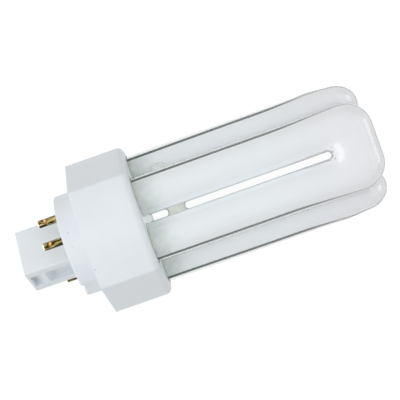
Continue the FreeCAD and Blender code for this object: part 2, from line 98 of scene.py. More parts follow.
# Where the glass starts to thin towards the bend, its wall beside the gap and round the gap's end, where
# the one begins to turn into the other, and how far inside the bore the coat lies.
THINNING_START = 66.0
GAP_WALL = 0.14
GAP_END_WALL = 0.50
GAP_WALL_START = 0.8 * GAP_CENTRE
COAT_GAP = 0.06

# Points along half a U: on a leg, beside the end of the gap, round the corner and across the end. Then the
# turns of a foot's rounding in degrees, and its smallest size.
LEG_POINTS, RUN_POINTS, CORNER_POINTS, END_POINTS = 24, 7, 15, 10
FOOT_TURNS = (90, 67.5, 45, 22.5)
SMALLEST_FOOT = 0.3

# The painted dark line at the coat's edge, painted shade in the outside glass: how far inside the coat it
# is seen, and the share of that lost in the bend; its widths on the legs and in the bend as shares of the
# tube's radius; how dark it is at places along the lamp, and what share of that is left beside the gap;
# and how quickly the side that faces the gap turns away from it.
LINE_INSIDE = 0.19
LINE_INSIDE_LOST_IN_BEND = 0.7
LEG_LINE_WIDTH, BEND_LINE_WIDTH = 0.075, 0.030
LINE_DARKNESS = ((HOUSING_RIM, 1.0), (42, 0.985), (72, 0.95), (GAP_CENTRE, 0.85), (90, 0.74))
GAP_LINE_SHARE = 0.05
GAP_SIDE_SHARPNESS = 6

# What each vertex of a piece keeps, and the values where there is no painted line.
VERTEX_VALUES = ("line_place", "line_darkness", "line_width", "rim_shade", "gap_side")
NO_LINE = (1.0, 0.0, 0.01, 0.0, 0.0)

# Each bridge by its angle: its radius in the middle, how much wider it is at the legs, and the index of its
# coat's material. Then how deep inside a leg's surface a bridge ends.
BRIDGES = {60: (3.1, 0.5, 1), 180: (2.9, 1.0, 2)}
BRIDGE_DEPTH = 0.3

# The bead of cement round each leg: its distance from the glass, its width, how far its foot lies behind the
# housing's rim, and its height.
BEAD_CLEARANCE = 0.02
BEAD_WIDTH = 0.26
BEAD_SINK = 0.08
BEAD_HEIGHT = 0.2

# The faint painted glow that lifts the shade of the housing's end face between the legs: how far behind the
# rim it starts and is full, and between which distances from the lamp's axis it fades out.
END_GLOW_START, END_GLOW_FULL = 0.6, 0.1
END_GLOW_FADE_START, END_GLOW_FADE_END = 13.0, 20.0

# The coat along the lamp: where its thin, greenish part ends, the length over which that fades and the width
# in which its edge wanders; between which places the full coat turns from white to warm; how far before the
# gap's centre the specks round the gap's end start, and how far past it they are full; and how much more
# painted glow the coat gets on the side that faces the gap, to lift the shade there.
THIN_COAT_END, THIN_COAT_FADE, THIN_COAT_WANDER = 34.5, 11.0, 6.0
WARM_COAT_START, WARM_COAT_FULL = 60.0, 90.0
GAP_SPECKS_BEFORE, GAP_SPECKS_PAST = 1.5, 0.5
GAP_PAINTED_GLOW = 1.3

# A pin's marks: between which distances from the crimp's middle its copper colour, with its painted shade
# and painted highlight, fades out, and between which distances from the tip its near-white colour does.
CRIMP_FADE_START, CRIMP_FADE_END = 0.2, 0.8
TIP_WHITE_FADE_START, TIP_WHITE_FADE_END = 0.3, 0.6


# Meshes.

def direction(angle):
    """Unit vector (y, z) at an angle round the lamp's axis."""
    return np.array((math.sin(math.radians(angle)), math.cos(math.radians(angle))))


def place_round_axis(flat, angle, distance):
    """Points (along, across, out) become (x, y, z): out is the angle's direction, moved by the distance."""
    out = direction(angle)
    across = direction(angle + 90)
    y = flat[..., 1] * across[0] + (flat[..., 2] + distance) * out[0]
    z = flat[..., 1] * across[1] + (flat[..., 2] + distance) * out[1]
    return np.stack((flat[..., 0], y, z), axis=-1)


def closed_tube(rings, flip=False):
    """Vertices and faces of a tube of rings, each a closed loop, with a fan to a pole at each end."""
    count, around = rings.shape[:2]
    vertices = np.concatenate((rings.reshape(-1, 3), rings[:1].mean(axis=1), rings[-1:].mean(axis=1)))
    index = np.arange(count * around).reshape(count, around)
    beside = np.roll(index, -1, axis=1)
    quads = np.stack((index[:-1], index[1:], beside[1:], beside[:-1]), axis=-1).reshape(-1, 4)
    first, last = count * around, count * around + 1
    start = np.stack((index[0], beside[0], np.full(around, first)), axis=-1)
    end = np.stack((beside[-1], index[-1], np.full(around, last)), axis=-1)
    if flip:
        quads, start, end = quads[:, ::-1], start[:, ::-1], end[:, ::-1]
    return vertices, quads.tolist() + start.tolist() + end.tolist()


def make_piece(name, shapes, materials):
    """One smooth mesh object from several shapes: vertices in mm, faces, material index and vertex values."""
    faces, slots, values, offset = [], [], [], 0
    for points, polygons, material, value in shapes:
        faces += [[corner + offset for corner in polygon] for polygon in polygons]
        slots += [material] * len(polygons)
        values.append(np.broadcast_to(np.asarray(value, float), (len(points), len(VERTEX_VALUES))))
        offset += len(points)
    mesh = bpy.data.meshes.new(name)
    mesh.from_pydata((np.concatenate([shape[0] for shape in shapes]) * MM).tolist(), [], faces)
    for material in materials:
        mesh.materials.append(material)
    mesh.polygons.foreach_set("material_index", slots)
    mesh.polygons.foreach_set("use_smooth", [True] * len(faces))
    for column, label in enumerate(VERTEX_VALUES):
        attribute = mesh.attributes.new(label, "FLOAT", "POINT")
        attribute.data.foreach_set("value", np.ascontiguousarray(np.concatenate(values)[:, column]))
    piece = bpy.data.objects.new(name, mesh)
    scene.collection.objects.link(piece)
    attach(piece, "root")
    return piece


def smooth(run):
    """Smooth step: 0 up to 0, 1 from 1 on, and 3 run squared less 2 run cubed between them."""
    run = np.clip(run, 0, 1)
    return run * run * (3 - 2 * run)


def rows(*columns):
    """Columns of numbers side by side, where a single number fills its whole column."""
    return np.stack(np.broadcast_arrays(*columns), axis=1)


def u_stations():
    """Crown points and edge normals along a U, for its outer side and its gap side.

    The outer crown runs straight, turns a corner on an arc, crosses the end and comes back the same way.
    The gap side keeps level with it on the legs, and in the bend it swings round the end of the gap to the
    same angle as the outer crown's.
    """
    middle = (LEG_CIRCLE + SEAM_FLAT) / 2
    gap_middle = (LEG_CIRCLE - SEAM_FLAT) / 2
    corner = CORNER_RADIUS - TUBE_RADIUS
    corner_x = TUBE_END - CORNER_RADIUS
    corner_y = middle - corner
    leg = rows(np.linspace(LEG_FOOT + FOOT_ROUNDING, GAP_CENTRE, LEG_POINTS)[:-1], -middle, 0.0, -1.0)
    run = rows(np.linspace(GAP_CENTRE, corner_x, RUN_POINTS)[:-1], -middle, 0.0, -1.0)
    turn = np.radians(np.linspace(-90, 0, CORNER_POINTS))
    cosine, sine = np.cos(turn), np.sin(turn)
    arc = rows(corner_x + corner * cosine, -corner_y + corner * sine, cosine, sine)
    end = rows(corner_x + corner, np.linspace(-corner_y, 0, END_POINTS)[1:], 1.0, 0.0)
    half = np.concatenate((leg, run, arc, end))
    outer = np.concatenate((half, half[-2::-1] * np.array((1, -1, 1, -1))))
    x, y = outer[:, 0], outer[:, 1]
    swing = np.arctan2(y, np.maximum(x - GAP_CENTRE, 0))
    in_bend = x > GAP_CENTRE
    gap = rows(
        np.minimum(x, GAP_CENTRE) + gap_middle * np.cos(swing) * in_bend,
        gap_middle * np.sin(swing),
        -np.cos(swing) * in_bend,
        -np.sin(swing),
    )
    return outer, gap


def foot_rings(ring, rounding, radius):
    """Rings that close a foot: a ring shrinks and steps back on a quarter circle of the rounding's size."""
    rings = []
    for turn in np.radians(FOOT_TURNS):
        scale = 1 - rounding * (1 - math.cos(turn)) / radius
        centre = np.array((0, ring[:, 1].mean(), 0))
        moved = centre + (ring - centre) * np.array((1, scale, scale))
        moved[:, 0] -= rounding * math.sin(turn)
        rings.append(moved)
    return np.array(rings)


def u_surface(walls, extra, angle, flip=False, around=28):
    """U tube surface at the glass's outside (walls 0) or at the bore (walls 1), less an extra inset.

    At each station the section is half a circle out from the outer crown and half a circle in from the gap
    side's crown, joined flat between the crowns. Past the gap's centre it gets smoothly lower where the bend
    tapers, and moves smoothly back where the end stands back. The wall thins along the leg and again round
    the bend, and it thickens on the gap's side of the bend. The values kept per vertex are where the painted
    dark line of the coat's edge is seen, as a share of the tube's radius, how dark and how wide it looks, how
    much painted grey shade the rim outside it gets, and how squarely the surface faces the gap.
    """
    tube = U_TUBES[angle]
    outer, gap = u_stations()
    x = outer[:, 0]
    leg_run = smooth((x - HOUSING_RIM) / (THINNING_START - HOUSING_RIM))
    bend_run = smooth((x - THINNING_START) / (TUBE_END - CORNER_RADIUS - THINNING_START))
    gap_run = smooth((x - GAP_WALL_START) / (GAP_CENTRE - GAP_WALL_START))
    leg_thinning = (tube.leg_wall - tube.foot_wall) * leg_run
    wall = tube.foot_wall + leg_thinning + (tube.bend_wall - tube.leg_wall) * bend_run
    gap_wall = GAP_WALL + (GAP_END_WALL - GAP_WALL) * gap_run
    radius = TUBE_RADIUS - extra - walls * (wall + gap_wall) / 2
    shift = walls * (gap_wall - wall) / 2
    lowered = 1 - tube.bend_taper * smooth((x - GAP_CENTRE) / (TUBE_END - TUBE_RADIUS - GAP_CENTRE))
    theta = np.radians(np.linspace(-90, 90, around))[None, :]
    height = (radius * lowered)[:, None] * np.sin(theta)

    def side(crown, moved):
        reach = radius[:, None] * np.cos(theta) + moved[:, None]
        flat = crown[:, None, :2] + reach[..., None] * crown[:, None, 2:]
        return np.concatenate((flat, height[..., None]), axis=-1)

    rings = np.concatenate((side(outer, shift), side(gap, -shift)[:, ::-1]), axis=1)
    rounding = max(FOOT_ROUNDING - walls * tube.foot_wall - extra, SMALLEST_FOOT)
    first = foot_rings(rings[0], rounding, radius[0])
    last = foot_rings(rings[-1], rounding, radius[0])[::-1]
    vertices, faces = closed_tube(np.concatenate((first, rings, last)), flip)
    vertices[:, 0] -= tube.bend_back * smooth((vertices[:, 0] - GAP_CENTRE) / (TUBE_END - GAP_CENTRE))

    # Where the painted dark line and the painted grey rim lie on this surface, and how dark and wide they
    # are.
    inside = LINE_INSIDE * (1 - LINE_INSIDE_LOST_IN_BEND * bend_run)
    width = LEG_LINE_WIDTH + (BEND_LINE_WIDTH - LEG_LINE_WIDTH) * bend_run
    darkness = np.interp(x, *zip(*LINE_DARKNESS))
    rim = np.full_like(darkness, tube.rim_shade)
    values = [np.repeat(np.stack(pair, 1), around, axis=1) for pair in (
        (1 - (wall + inside) / TUBE_RADIUS, 1 - (gap_wall + inside) / TUBE_RADIUS),
        (darkness, darkness * GAP_LINE_SHARE),
        (width, width),
        (rim, 0 * rim),
    )]
    facing_gap = np.concatenate((np.zeros(around), np.cos(theta[0, ::-1]) ** GAP_SIDE_SHARPNESS))
    values = np.stack((*values, np.broadcast_to(facing_gap, values[0].shape)), axis=-1)
    at_foot = len(FOOT_TURNS)
    values = np.concatenate((values[:1].repeat(at_foot, 0), values, values[-1:].repeat(at_foot, 0)))
    values = np.concatenate((values.reshape(-1, len(VERTEX_VALUES)), (NO_LINE, NO_LINE)))
    return place_round_axis(vertices, angle, U_DISTANCE), faces, values


def bridge_surface(radius, flare, angle, around=48, along=41):
    """Short tube between two legs, whose radius grows towards each leg on a hollow quarter circle.

    It ends on a cylinder round each leg's axis, at the bridge's depth inside the leg's own surface.
    """
    phi = np.linspace(0, 2 * math.pi, around, endpoint=False)[None, :]
    t = np.linspace(-1, 1, along)[:, None]
    near_leg = np.minimum(np.abs(t) * (LEG_GAP / 2 + BRIDGE_DEPTH) / (LEG_GAP / 2), 1)
    grown = radius + flare * (1 - np.sqrt(1 - near_leg ** 2))
    leg_height = (radius + flare) * np.sin(phi)
    end = LEG_CIRCLE / 2 - np.sqrt((TUBE_RADIUS - BRIDGE_DEPTH) ** 2 - leg_height ** 2)
    rings = np.stack((BRIDGE_PLACE + grown * np.cos(phi), t * end, grown * np.sin(phi)), axis=-1)
    vertices, faces = closed_tube(rings)
    return place_round_axis(vertices, angle, U_DISTANCE), faces, NO_LINE


def ring_bead(angle, around=48, section=9):
    """Bead round a leg: half an ellipse from its inner to its outer radius, carried round the leg's axis."""
    centre = direction(angle) * LEG_CIRCLE
    inner = TUBE_RADIUS + BEAD_CLEARANCE
    phi = np.linspace(0, 2 * math.pi, around, endpoint=False)[:, None]
    t = np.linspace(0, math.pi, section)[None, :]
    radius = inner + BEAD_WIDTH / 2 - BEAD_WIDTH / 2 * np.cos(t)
    lift = HOUSING_RIM - BEAD_SINK + BEAD_HEIGHT * np.sin(t)
    points = np.stack((
        np.broadcast_to(lift, (around, section)),
        centre[0] + radius * np.cos(phi),
        centre[1] + radius * np.sin(phi),
    ), axis=-1)
    index = np.arange(around * section).reshape(around, section)
    beyond = np.roll(index, -1, axis=0)
    beside = np.roll(index, -1, axis=1)
    across = np.roll(beyond, -1, axis=1)
    quads = np.stack((index, beside, across, beyond), axis=-1).reshape(-1, 4)
    return points.reshape(-1, 3), quads.tolist(), NO_LINE


# Shader helpers.

def new_material(name):
    """Empty node material with a Principled shader and an output."""
    material = bpy.data.materials.new(name)
    material.use_nodes = True
    tree = material.node_tree
    tree.nodes.clear()
    output = tree.nodes.new("ShaderNodeOutputMaterial")
    shader = tree.nodes.new("ShaderNodeBsdfPrincipled")
    tree.links.new(shader.outputs["BSDF"], output.inputs["Surface"])
    return material, tree, shader, output


def feed(tree, socket, value):
    """Give a socket a value, or link another node's output to it."""
    if isinstance(value, bpy.types.NodeSocket):
        tree.links.new(value, socket)
    else:
        socket.default_value = value


def add(tree, kind, settings=None, **inputs):
    """Node with some properties and inputs set, where an underscore in an input's name stands for a space."""
    node = tree.nodes.new(kind)
    for key, value in (settings or {}).items():
        setattr(node, key, value)
    for key, value in inputs.items():
        feed(tree, node.inputs[key.replace("_", " ")], value)
    return node


def ramp(tree, factor, stops):
    """Colour ramp through (place, colour) stops."""
    node = add(tree, "ShaderNodeValToRGB", Fac=factor)
    band = node.color_ramp
    while len(band.elements) < len(stops):
        band.elements.new(0.5)
    for element, (place, colour) in zip(band.elements, stops):
        element.position = place
        element.color = (*colour, 1)
    return node.outputs["Color"]


def mix(tree, factor, first, second):
    """Mix of two colours, each an output or a tuple of three numbers."""
    node = add(tree, "ShaderNodeMix", {"data_type": "RGBA"})
    factor_socket, first_socket, second_socket = node.inputs[0], node.inputs[6], node.inputs[7]
    for socket, value in ((factor_socket, factor), (first_socket, first), (second_socket, second)):
        feed(tree, socket, (*value, 1) if isinstance(value, tuple) else value)
    return node.outputs[2]


def math_node(tree, operation, first, second=None):
    """Math node on outputs or numbers."""
    node = add(tree, "ShaderNodeMath", {"operation": operation})
    feed(tree, node.inputs[0], first)
    if second is not None:
        feed(tree, node.inputs[1], second)
    return node.outputs[0]


def vector_math(tree, operation, vector):
    """Vector Math node with an output linked to its first input."""
    node = add(tree, "ShaderNodeVectorMath", {"operation": operation})
    tree.links.new(vector, node.inputs[0])
    return node


def fade(tree, value, start, end, low=0.0, high=1.0):
    """Value carried smoothly from low at start to high at end."""
    node = add(tree, "ShaderNodeMapRange", {"interpolation_type": "SMOOTHSTEP"}, Value=value)
    for name, number in (("From Min", start), ("From Max", end), ("To Min", low), ("To Max", high)):
        node.inputs[name].default_value = number
    return node.outputs["Result"]


def bump(tree, shader, height, strength, distance):
    """Bump node between a height and the shader's normal, with its distance in metres."""
    node = add(tree, "ShaderNodeBump", Strength=strength, Distance=distance, Height=height)
    tree.links.new(node.outputs["Normal"], shader.inputs["Normal"])


def kept_value(tree, name):
    """A value kept on the mesh's vertices."""
    return add(tree, "ShaderNodeAttribute", {"attribute_name": name}).outputs["Fac"]


def facing_away(tree):
    """0 where the surface faces the view, rising to 1 where it is seen edge on."""
    return add(tree, "ShaderNodeLayerWeight", Blend=0.5).outputs["Facing"]


def new_group(name, inputs, outputs):
    """Node group with named sockets, and its own input and output nodes."""
    group = bpy.data.node_groups.new(name, "ShaderNodeTree")
    for label, kind, value in inputs:
        socket = group.interface.new_socket(label, in_out="INPUT", socket_type=kind)
        if value is not None:
            socket.default_value = value
    for label, kind in outputs:
        group.interface.new_socket(label, in_out="OUTPUT", socket_type=kind)
    return group, group.nodes.new("NodeGroupInput"), group.nodes.new("NodeGroupOutput")


def place_group(tree, group, **inputs):
    """One use of a node group in a material, with its own values."""
    return add(tree, "ShaderNodeGroup", {"node_tree": group}, **inputs)


def object_coordinates(tree):
    """Object coordinates, in metres."""
    return tree.nodes.new("ShaderNodeTexCoord").outputs["Object"]


def make_specks_group():
    """Scattered tiny specks: the middles of those texture cells whose random colour is rare."""
    group, source, result = new_group(
        "scattered_specks",
        (("Vector", "NodeSocketVector", None), ("Scale", "NodeSocketFloat", 600.0),
         ("Size", "NodeSocketFloat", 0.1), ("Rarity", "NodeSocketFloat", 0.9)),
        (("Mask", "NodeSocketFloat"),),
    )
    given = source.outputs
    cells = add(group, "ShaderNodeTexVoronoi", Vector=given["Vector"], Scale=given["Scale"])
    split = add(group, "ShaderNodeSeparateColor", Color=cells.outputs["Color"])
    near = math_node(group, "LESS_THAN", cells.outputs["Distance"], given["Size"])
    rare = math_node(group, "GREATER_THAN", split.outputs[0], given["Rarity"])
    group.links.new(math_node(group, "MULTIPLY", near, rare), result.inputs["Mask"])
    return group


def make_grain_group():
    """Fine moulded grain: one coarse and one fine noise added, as a height and as a blotch value."""
    group, source, result = new_group(
        "moulded_grain",
        (("Vector", "NodeSocketVector", None), ("Coarse", "NodeSocketFloat", 90.0),
         ("Fine", "NodeSocketFloat", 1400.0)),
        (("Height", "NodeSocketFloat"), ("Blotch", "NodeSocketFloat")),
    )
    given = source.outputs
    coarse = add(group, "ShaderNodeTexNoise", Vector=given["Vector"], Scale=given["Coarse"],
                 Detail=3.0, Roughness=0.5)
    fine = add(group, "ShaderNodeTexNoise", Vector=given["Vector"], Scale=given["Fine"],
               Detail=2.0, Roughness=0.6)
    both = math_node(group, "ADD", math_node(group, "MULTIPLY", coarse.outputs["Fac"], 0.6),
                     math_node(group, "MULTIPLY", fine.outputs["Fac"], 0.4))
    group.links.new(both, result.inputs["Height"])
    group.links.new(coarse.outputs["Fac"], result.inputs["Blotch"])
    return group


specks_group = make_specks_group()
grain_group = make_grain_group()


# Materials.

def make_plastic():
    """White moulded plastic: faint blotches, a fine grain and a few grey specks.

    The housing's end face has a faint painted glow between the legs, which lifts its shade there and stands
    in for the light that the tubes let through.
    """
    material, tree, shader, output = new_material("white_plastic")
    where = object_coordinates(tree)
    grain = place_group(tree, grain_group, Vector=where, Coarse=120.0, Fine=1600.0)
    specks = place_group(tree, specks_group, Vector=where, Scale=420.0, Size=0.11, Rarity=0.93)
    plain = ramp(tree, grain.outputs["Blotch"], ((0.3, (0.790, 0.828, 0.858)), (0.7, (0.820, 0.856, 0.884))))
    colour = mix(tree, math_node(tree, "MULTIPLY", specks.outputs["Mask"], 0.45), plain, (0.42, 0.44, 0.46))
    tree.links.new(colour, shader.inputs["Base Color"])
    rough = fade(tree, grain.outputs["Blotch"], 0.3, 0.7, low=0.36, high=0.46)
    tree.links.new(rough, shader.inputs["Roughness"])
    bump(tree, shader, grain.outputs["Height"], strength=0.12, distance=0.00005)
    # Painted glow on the housing's end face between the legs, which lies in shade.
    along = add(tree, "ShaderNodeSeparateXYZ", Vector=where).outputs["X"]
    off_axis = vector_math(tree, "MULTIPLY", where)
    off_axis.inputs[1].default_value = (0.0, 1.0, 1.0)
    from_axis = vector_math(tree, "LENGTH", off_axis.outputs["Vector"]).outputs["Value"]
    end_face = fade(tree, along, (HOUSING_RIM - END_GLOW_START) * MM, (HOUSING_RIM - END_GLOW_FULL) * MM)
    between_legs = fade(tree, from_axis, END_GLOW_FADE_START * MM, END_GLOW_FADE_END * MM, low=1.0, high=0.0)
    painted_glow_mask = math_node(tree, "MULTIPLY", end_face, between_legs)
    tree.links.new(mix(tree, painted_glow_mask, (0.0, 0.0, 0.0), (0.96, 1.0, 0.98)), shader.inputs["Emission Color"])
    shader.inputs["Emission Strength"].default_value = 0.24
    return material


def make_coat(name, thin_colour, thin_end, glow, gloss=0.0, edge=0.0):
    """White coat seen through the glass, thinner and greenish up to thin_end along the lamp, in mm.

    It has a faint painted glow, stronger on the side that faces the gap, that stands in for light coming
    through it from the other tubes. Gloss stands for glass on it, and edge is how dark the painted shade
    makes it where it is seen edge on.
    """
    material, tree, shader, output = new_material(name)
    where = object_coordinates(tree)
    place = add(tree, "ShaderNodeSeparateXYZ", Vector=where).outputs["X"]
    cloud = add(tree, "ShaderNodeTexNoise", Vector=where, Scale=220.0, Detail=4.0, Roughness=0.6)
    off_middle = math_node(tree, "SUBTRACT", cloud.outputs["Fac"], 0.5)
    along = math_node(tree, "ADD", place, math_node(tree, "MULTIPLY", off_middle, THIN_COAT_WANDER * MM))
    thin = fade(tree, along, (thin_end - THIN_COAT_FADE) * MM, thin_end * MM, low=1.0, high=0.0)
    mottle = add(tree, "ShaderNodeTexNoise", Vector=where, Scale=700.0, Detail=3.0, Roughness=0.7)
    blotched = mix(tree, fade(tree, mottle.outputs["Fac"], 0.42, 0.62), thin_colour,
                   tuple(1.12 * channel for channel in thin_colour))
    white = ramp(tree, cloud.outputs["Fac"], ((0.3, (0.668, 0.694, 0.714)), (0.7, (0.688, 0.712, 0.732))))
    warm = ramp(tree, cloud.outputs["Fac"], ((0.3, (0.662, 0.665, 0.686)), (0.7, (0.680, 0.682, 0.702))))
    full = mix(tree, fade(tree, along, WARM_COAT_START * MM, WARM_COAT_FULL * MM), white, warm)
    coated = mix(tree, thin, full, blotched)
    gap_side = kept_value(tree, "gap_side")
    specks = place_group(tree, specks_group, Vector=where, Scale=900.0, Size=0.34, Rarity=0.72)
    specks_start, specks_full = GAP_CENTRE - GAP_SPECKS_BEFORE, GAP_CENTRE + GAP_SPECKS_PAST
    at_gap_end = fade(tree, place, specks_start * MM, specks_full * MM)
    pinched = math_node(tree, "MULTIPLY", fade(tree, gap_side, 0.15, 0.5), at_gap_end)
    speckled = math_node(tree, "MULTIPLY", specks.outputs["Mask"], pinched)
    colour = mix(tree, speckled, coated, (0.33, 0.31, 0.19))
    # Painted shade: darker where the coat is seen edge on.
    if edge:
        edge_on_painted_shade = fade(tree, facing_away(tree), 0.40, 0.80)
        colour = mix(tree, math_node(tree, "MULTIPLY", edge_on_painted_shade, edge), colour, (0.12, 0.13, 0.10))
    tree.links.new(colour, shader.inputs["Base Color"])
    # Painted glow: the coat gives off its own colour faintly, more where it faces the gap, to lift its shade.
    painted_glow_colour = vector_math(tree, "SCALE", colour)
    more = math_node(tree, "ADD", math_node(tree, "MULTIPLY", gap_side, GAP_PAINTED_GLOW), 1.0)
    tree.links.new(more, painted_glow_colour.inputs["Scale"])
    tree.links.new(painted_glow_colour.outputs["Vector"], shader.inputs["Emission Color"])
    shader.inputs["Emission Strength"].default_value = glow
    shader.inputs["Roughness"].default_value = 0.85
    shader.inputs["Specular IOR Level"].default_value = 0.1
    shader.inputs["Coat Weight"].default_value = gloss
    shader.inputs["Coat Roughness"].default_value = 0.02
    bump(tree, shader, cloud.outputs["Fac"], strength=0.1, distance=0.00004)
    return material


def make_painted_edge_line_group():
    """Painted dark line where the coat's edge is seen through the glass, and the clear rim outside it.

    The sine of the angle between the view and the surface is how far from the leg's middle the eye meets it,
    as a share of the radius. The line lies where that share comes near the one kept on the surface.
    """
    group, source, result = new_group(
        "painted_coat_edge_line",
        (("Facing", "NodeSocketFloat", 0.0), ("Place", "NodeSocketFloat", 1.0),
         ("Darkness", "NodeSocketFloat", 0.0), ("Width", "NodeSocketFloat", 0.05)),
        (("Line", "NodeSocketFloat"), ("Rim", "NodeSocketFloat")),
    )
    given = source.outputs
    cosine = math_node(group, "SUBTRACT", 1.0, given["Facing"])
    sine_squared = math_node(group, "SUBTRACT", 1.0, math_node(group, "MULTIPLY", cosine, cosine))
    beyond = math_node(group, "SUBTRACT", math_node(group, "SQRT", sine_squared), given["Place"])
    share = math_node(group, "DIVIDE", math_node(group, "ABSOLUTE", beyond), given["Width"])
    near = fade(group, share, 0.6, 1.0, low=1.0, high=0.0)
    group.links.new(math_node(group, "MULTIPLY", near, given["Darkness"]), result.inputs["Line"])
    group.links.new(fade(group, beyond, 0.02, 0.05), result.inputs["Rim"])
    return group


def glass_shader(name, on_outside):
    """Clear soda glass that lets lamps through. Its outside carries a painted dark line at the coat's edge.
    """
    material, tree, shader, output = new_material(name)
    clear_glass = (0.985, 0.992, 0.988)
    shader.inputs["Transmission Weight"].default_value = 1.0
    shader.inputs["IOR"].default_value = 1.5
    shader.inputs["Roughness"].default_value = 0.0
    shader.inputs["Base Color"].default_value = (*clear_glass, 1)
    if on_outside:
        # Painted shade: a dark line at the coat's edge and a grey tint on the clear rim, put into the glass's
        # colour.
        edge = place_group(
            tree, make_painted_edge_line_group(), Facing=facing_away(tree), Place=kept_value(tree, "line_place"),
            Darkness=kept_value(tree, "line_darkness"), Width=kept_value(tree, "line_width"),
        )
        rim = math_node(tree, "MULTIPLY", edge.outputs["Rim"], kept_value(tree, "rim_shade"))
        painted_grey_rim = mix(tree, rim, clear_glass, (0.0, 0.02, 0.01))
        painted_dark_line = mix(tree, edge.outputs["Line"], painted_grey_rim, (0.006, 0.014, 0.010))
        tree.links.new(painted_dark_line, shader.inputs["Base Color"])
    clear = tree.nodes.new("ShaderNodeBsdfTransparent")
    path = tree.nodes.new("ShaderNodeLightPath")
    both = tree.nodes.new("ShaderNodeMixShader")
    lets_through = math_node(tree, "MAXIMUM", path.outputs["Is Shadow Ray"], path.outputs["Is Diffuse Ray"])
    tree.links.new(lets_through, both.inputs["Fac"])
    tree.links.new(shader.outputs["BSDF"], both.inputs[1])
    tree.links.new(clear.outputs["BSDF"], both.inputs[2])
    tree.links.new(both.outputs["Shader"], output.inputs["Surface"])
    return material


def make_brass():
    """Drawn brass: near-black streaks along the pin, a painted dark reflection where it is seen edge on, near
    white at the tip, and in the crimp a copper colour with a painted dark rim and a painted highlight.
    """
    material, tree, shader, output = new_material("drawn_brass")
    where = object_coordinates(tree)
    grain = place_group(tree, grain_group, Vector=where, Coarse=700.0, Fine=5000.0)
    lengthwise = vector_math(tree, "MULTIPLY", where)
    lengthwise.inputs[1].default_value = (0.16, 1.0, 1.0)
    streaks = add(tree, "ShaderNodeTexNoise", Vector=lengthwise.outputs["Vector"], Scale=1150.0, Detail=2.0,
                  Roughness=0.55)
    rings = add(tree, "ShaderNodeTexWave", {"wave_type": "BANDS", "bands_direction": "X"},
                Vector=where, Scale=1400.0, Distortion=0.6, Detail=1.0)
    clean = ramp(tree, grain.outputs["Blotch"], ((0.32, (0.42, 0.32, 0.11)), (0.55, (0.68, 0.54, 0.22)),
                                                 (0.72, (0.84, 0.72, 0.38))))
    dark_streak_mask = ramp(tree, streaks.outputs["Fac"], ((0.46, (0, 0, 0)), (0.56, (1, 1, 1))))
    streaked = mix(tree, dark_streak_mask, (0.045, 0.034, 0.010), clean)
    # Painted reflection: darker where the pin is seen edge on, as if dark surroundings were mirrored there.
    streaked_with_painted_edge_reflection = mix(tree, fade(tree, facing_away(tree), 0.30, 0.62), streaked, (0.05, 0.04, 0.015))
    along = add(tree, "ShaderNodeSeparateXYZ", Vector=where).outputs["X"]
    from_crimp = math_node(tree, "ABSOLUTE", math_node(tree, "SUBTRACT", along, CRIMP_PLACE * MM))
    facing = vector_math(tree, "DOT_PRODUCT", tree.nodes.new("ShaderNodeTexCoord").outputs["Normal"])
    facing.inputs[1].default_value = (0.0, *direction(CAP_ROLL))
    towards_crimp = math_node(tree, "ABSOLUTE", facing.outputs["Value"])
    near_crimp = fade(tree, from_crimp, CRIMP_FADE_START * MM, CRIMP_FADE_END * MM, low=1.0, high=0.0)
    pressed = math_node(tree, "MULTIPLY", near_crimp, fade(tree, towards_crimp, 0.55, 0.95))
    # The crimp's copper colour, with painted shade at its rim and a painted highlight in its middle.
    crimp_copper_and_painted_light = ramp(tree, pressed, ((0.25, (0.06, 0.03, 0.01)), (0.6, (0.36, 0.17, 0.04)),
                                  (1.0, (0.72, 0.46, 0.20))))
    with_crimp_colour = mix(tree, fade(tree, pressed, 0.12, 0.3), streaked_with_painted_edge_reflection, crimp_copper_and_painted_light)
    white_tip_start, white_tip_end = PIN_TIP + TIP_WHITE_FADE_START, PIN_TIP + TIP_WHITE_FADE_END
    white_tip = fade(tree, along, white_tip_start * MM, white_tip_end * MM, low=1.0, high=0.0)
    tree.links.new(mix(tree, white_tip, with_crimp_colour, (0.93, 0.91, 0.86)), shader.inputs["Base Color"])
    shader.inputs["Metallic"].default_value = 1.0
    rough = fade(tree, grain.outputs["Blotch"], 0.3, 0.7, low=0.14, high=0.26)
    tree.links.new(rough, shader.inputs["Roughness"])
    ridges = math_node(tree, "MULTIPLY", rings.outputs["Fac"], 0.5)
    uneven = math_node(tree, "ADD", ridges, grain.outputs["Height"])
    bump(tree, shader, uneven, strength=0.25, distance=0.00002)
    return material


def make_cement():
    """Tan lamp cement: porous and matt."""
    material, tree, shader, output = new_material("lamp_cement")
    where = object_coordinates(tree)
    grain = place_group(tree, grain_group, Vector=where, Coarse=400.0, Fine=3000.0)
    specks = place_group(tree, specks_group, Vector=where, Scale=1500.0, Size=0.3, Rarity=0.7)
    base = ramp(tree, grain.outputs["Blotch"], ((0.3, (0.34, 0.33, 0.22)), (0.7, (0.55, 0.53, 0.38))))
    colour = mix(tree, math_node(tree, "MULTIPLY", specks.outputs["Mask"], 0.5), base, (0.20, 0.19, 0.12))
    tree.links.new(colour, shader.inputs["Base Color"])
    shader.inputs["Roughness"].default_value = 0.9
    bump(tree, shader, grain.outputs["Height"], strength=0.5, distance=0.0001)
    return material


def make_wire():
    """Bare nickel-plated wire with a grain of drawing marks."""
    material, tree, shader, output = new_material("bare_wire")
    where = object_coordinates(tree)
    grain = place_group(tree, grain_group, Vector=where, Coarse=900.0, Fine=6000.0)
    colour = ramp(tree, grain.outputs["Blotch"], ((0.3, (0.50, 0.49, 0.47)), (0.7, (0.68, 0.67, 0.65))))
    tree.links.new(colour, shader.inputs["Base Color"])
    shader.inputs["Metallic"].default_value = 1.0
    rough = fade(tree, grain.outputs["Height"], 0.3, 0.7, low=0.25, high=0.42)
    tree.links.new(rough, shader.inputs["Roughness"])
    return material


